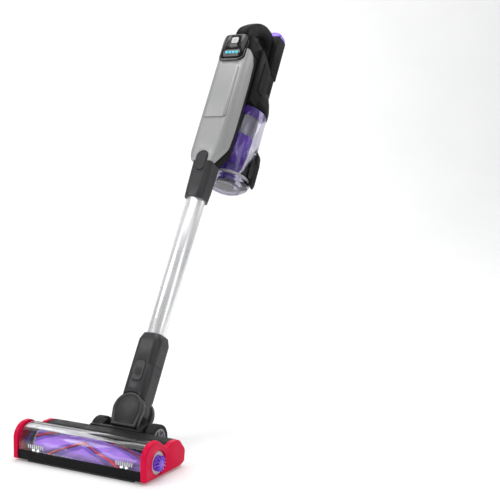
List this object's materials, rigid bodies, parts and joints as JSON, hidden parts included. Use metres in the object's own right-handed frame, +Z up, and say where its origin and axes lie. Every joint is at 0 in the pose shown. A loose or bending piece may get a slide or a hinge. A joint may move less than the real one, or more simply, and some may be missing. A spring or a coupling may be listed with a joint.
{
  "type": "cordless stick vacuum cleaner",
  "caption": "Cordless stick vacuum: roller floor head with clear window, swivel neck, metal wand, handheld motor unit with clear dust cup, loop handle and removable battery.",
  "frame": {"origin": "on the floor at the middle of the rear felt strip's lower face under the floor head", "axes": "+Z up, +X to the machine's right seen from behind it, +Y to the rear, towards the user"},
  "size_m": [0.2856, 0.7402, 0.8194],
  "materials": {
    "pink_gloss": "metallic crimson pink, gloss",
    "black_satin": "satin black",
    "dark_grey": "satin dark grey",
    "silver_grey": "satin metallic grey paint",
    "clear": "clear polycarbonate",
    "smoky_clear": "smoky clear plastic",
    "purple_gloss": "gloss purple",
    "lavender": "satin lavender",
    "gloss_black": "gloss black",
    "white_plastic": "satin white",
    "led_cyan": "lit diffuser",
    "nap_fabric": "short velvet nap",
    "felt": "short black felt",
    "rubber": "matte",
    "wand_aluminium": "bright satin",
    "steel": "turned",
    "motor_can": "satin",
    "cell_wrap": "heat-shrink sleeve",
    "mesh_metal": "fine punched screen",
    "filter_paper": "pleated fleece"
  },
  "bodies": {
    "head": {"head_base": "dark_grey", "head_top_cover": "dark_grey", "end_cap_left": "pink_gloss", "end_cap_right": "pink_gloss", "front_bumper": "black_satin", "brush_window": "clear", "headlight_leds": "led_cyan", "headlight_lenses": "white_plastic", "brush_motor": "motor_can", "drive_belt": "rubber", "felt_strips": "felt", "sole_screws": "steel", "brush_end_bearing": "white_plastic", "pitch_axle": "steel"},
    "brush": {"brush_core": "purple_gloss", "brush_nap": "nap_fabric", "brush_end_knob": "purple_gloss"},
    "motor_rotor": {"motor_pulley": "white_plastic"},
    "wheel_l": {"wheel_hub_left": "dark_grey", "wheel_tyre_left": "rubber"},
    "wheel_r": {"wheel_hub_right": "dark_grey", "wheel_tyre_right": "rubber"},
    "neck": {"yoke_frame": "black_satin", "yoke_cover": "dark_grey", "yoke_rear_cover": "dark_grey", "swivel_pins": "steel"},
    "socket": {"lower_socket": "dark_grey"},
    "socket_button": {"socket_release_button": "dark_grey"},
    "wand": {"wand_tube": "wand_aluminium", "wand_lower_insert": "black_satin", "upper_collar": "dark_grey"},
    "collar_button": {"collar_release_button": "dark_grey"},
    "handheld": {"front_shell": "silver_grey", "front_panel": "silver_grey", "spine_frame": "black_satin", "inlet_nozzle": "black_satin", "head_shell": "black_satin", "display_panel": "gloss_black", "light_strip": "led_cyan", "handle_loop": "black_satin", "motor_housing": "dark_grey", "housing_side_pads": "dark_grey", "battery_bay": "black_satin", "suction_motor": "motor_can"},
    "power_key": {"power_button": "white_plastic"},
    "fan": {"suction_fan": "white_plastic"},
    "battery": {"battery_case": "black_satin", "battery_cap": "purple_gloss", "battery_cells": "cell_wrap"},
    "battery_key": {"battery_release_button": "dark_grey"},
    "cup": {"cup_wall": "clear", "cup_pins": "steel", "inlet_duct": "lavender", "cyclone_body": "purple_gloss", "mesh_screen": "mesh_metal", "pleated_filter": "filter_paper"},
    "cup_key": {"cup_release_button": "purple_gloss"},
    "lid": {"cup_lid": "smoky_clear"},
    "latch": {"lid_latch": "black_satin"}
  },
  "joints": [
    {"name": "brush_spin", "type": "hinge", "parent": "head", "child": "brush", "pos_m": [0, -0.034, 0.0275], "axis": [1, 0, 0], "continuous": true},
    {"name": "motor_spin", "type": "hinge", "parent": "head", "child": "motor_rotor", "pos_m": [-0.11, 0.022, 0.0275], "axis": [1, 0, 0], "continuous": true},
    {"name": "wheel_left_spin", "type": "hinge", "parent": "head", "child": "wheel_l", "pos_m": [0, 0.077, 0.0272], "axis": [1, 0, 0], "continuous": true},
    {"name": "wheel_right_spin", "type": "hinge", "parent": "head", "child": "wheel_r", "pos_m": [0, 0.077, 0.0272], "axis": [1, 0, 0], "continuous": true},
    {"name": "neck_tilt", "type": "hinge", "parent": "head", "child": "neck", "pos_m": [0, 0.077, 0.0272], "axis": [1, 0, 0], "range_deg": [-45, 29.8]},
    {"name": "neck_swivel", "type": "hinge", "parent": "neck", "child": "socket", "pos_m": [0, 0.09485, 0.06354], "axis": [0, 0.8678, -0.497], "range_deg": [-40, 40]},
    {"name": "socket_button_press", "type": "slide", "parent": "socket", "child": "socket_button", "axis": [0, 0.8678, -0.497], "range_m": [0, 0.0022], "stiffness_N_per_m": 500, "springref_m": -0.002},
    {"name": "wand_pull", "type": "slide", "parent": "socket", "child": "wand", "axis": [0, 0.497, 0.8678], "range_m": [0, 0.1]},
    {"name": "collar_button_press", "type": "slide", "parent": "wand", "child": "collar_button", "axis": [0, 0.8678, -0.497], "range_m": [0, 0.002], "stiffness_N_per_m": 500, "springref_m": -0.002},
    {"name": "handheld_pull", "type": "slide", "parent": "wand", "child": "handheld", "axis": [0, 0.497, 0.8678], "range_m": [0, 0.06]},
    {"name": "power_button_press", "type": "slide", "parent": "handheld", "child": "power_key", "axis": [0, 0.8678, -0.497], "range_m": [0, 0.001], "stiffness_N_per_m": 800, "springref_m": -0.001},
    {"name": "fan_spin", "type": "hinge", "parent": "handheld", "child": "fan", "pos_m": [0, 0.52163, 0.67995], "axis": [0, 0.497, 0.8678], "continuous": true},
    {"name": "battery_slide", "type": "slide", "parent": "handheld", "child": "battery", "axis": [0, 0.497, 0.8678], "range_m": [0, 0.08]},
    {"name": "battery_button_press", "type": "slide", "parent": "handheld", "child": "battery_key", "axis": [0, -0.8678, 0.497], "range_m": [0, 0.002], "stiffness_N_per_m": 600, "springref_m": -0.002},
    {"name": "cup_pull", "type": "slide", "parent": "handheld", "child": "cup", "axis": [0, -0.497, -0.8678], "range_m": [0, 0.08]},
    {"name": "cup_button_press", "type": "slide", "parent": "handheld", "child": "cup_key", "axis": [1, 0, 0], "range_m": [0, 0.0018], "stiffness_N_per_m": 600, "springref_m": -0.002},
    {"name": "lid_hinge", "type": "hinge", "parent": "cup", "child": "lid", "pos_m": [-0.05308, 0.44592, 0.47842], "axis": [0.1392, 0.8593, -0.4921], "range_deg": [0, 95]},
    {"name": "lid_latch_turn", "type": "hinge", "parent": "cup", "child": "latch", "pos_m": [0.0493, 0.47861, 0.52942], "axis": [0.2079, -0.8488, 0.4861], "range_deg": [0, 22], "stiffness_Nm_per_rad": 0.05, "springref_deg": -11.46}
  ],
  "couplings": [
    {"joint": "motor_spin", "follows": "brush_spin", "ratio": 2.4}
  ]
}
